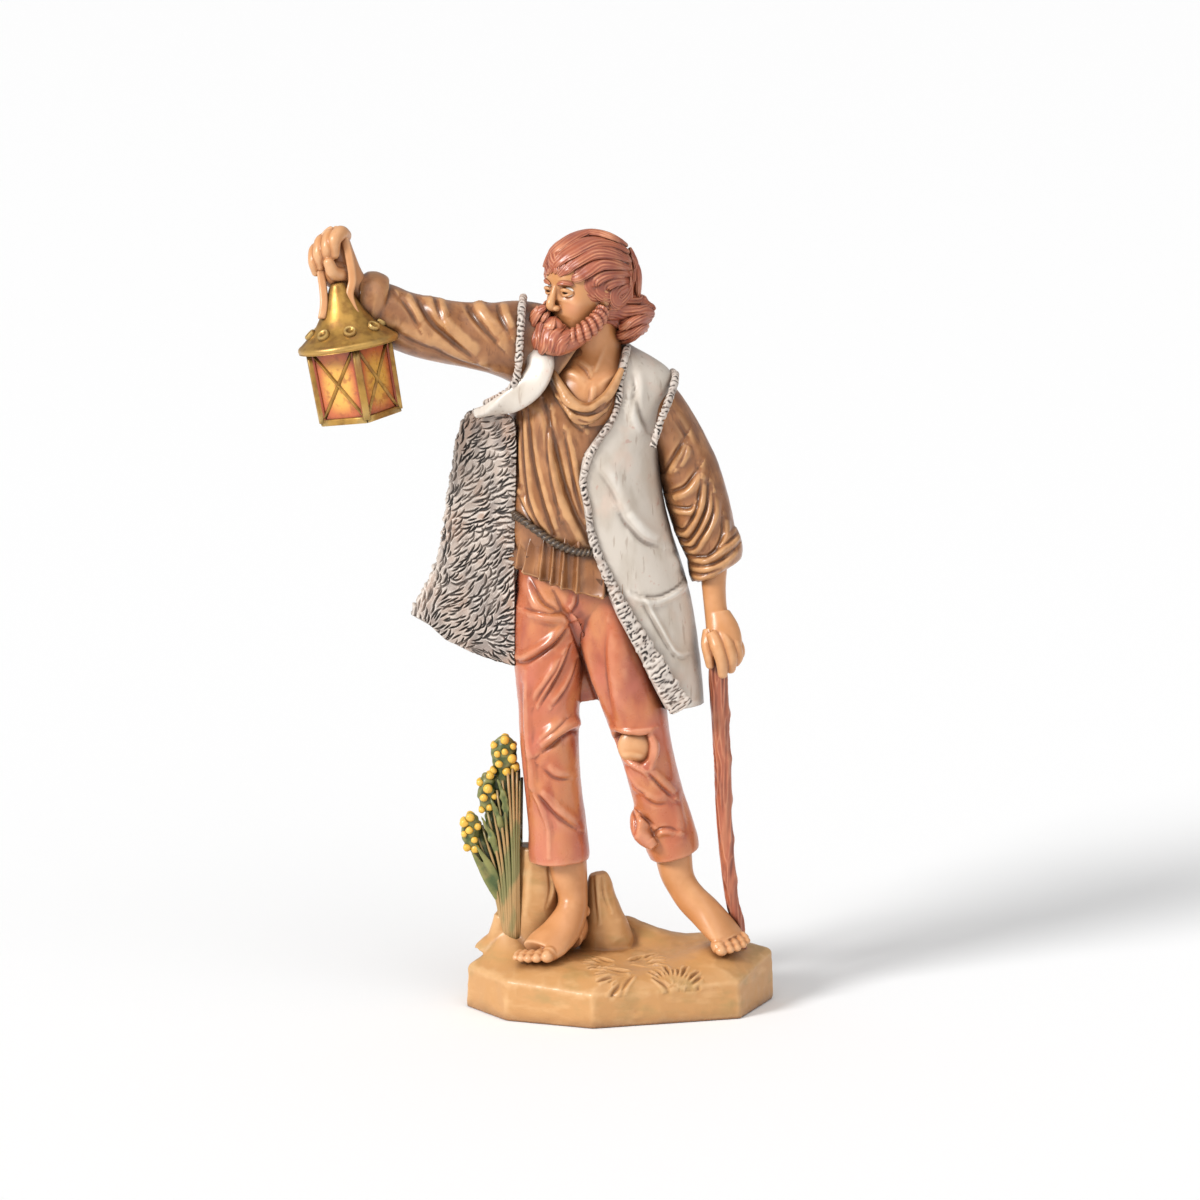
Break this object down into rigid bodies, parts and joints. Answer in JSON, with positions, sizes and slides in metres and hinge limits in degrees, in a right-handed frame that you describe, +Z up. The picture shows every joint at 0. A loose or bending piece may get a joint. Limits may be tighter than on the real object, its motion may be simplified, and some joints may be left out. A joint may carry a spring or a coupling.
{
  "type": "nativity innkeeper figurine",
  "caption": "Moulded nativity innkeeper with a raised lantern, a walking stick and a sheepskin vest, standing on faceted ground.",
  "frame": {"origin": "centre of the flat underside of the ground piece", "axes": "+Z up along the standing figure, -Y towards the viewer whom the figure faces, +X to the figure's left, away from the lantern"},
  "size_m": [0.1123, 0.0468, 0.1898],
  "materials": {
    "painted_polymer": "moulded polymer, hand painted, satin with a brown wash in the hollows",
    "skin_paint": "satin warm skin paint over a brown wash",
    "shirt_paint": "satin brown paint, worn lighter on the folds",
    "trouser_paint": "satin rust paint, worn lighter on the folds",
    "fleece_paint": "off-white paint with a dark wash in the curls",
    "hair_paint": "satin red-brown paint with a darker wash",
    "gilt_paint": "gold paint over moulded polymer",
    "pane_paint": "orange and red paint for lit panes",
    "stick_paint": "red-brown paint on carved bark",
    "ground_paint": "ochre paint with a brown wash",
    "plant_paint": "dark green and yellow paint"
  },
  "bodies": {
    "root": {"nativity_innkeeper": "painted_polymer"}
  },
  "joints": []
}
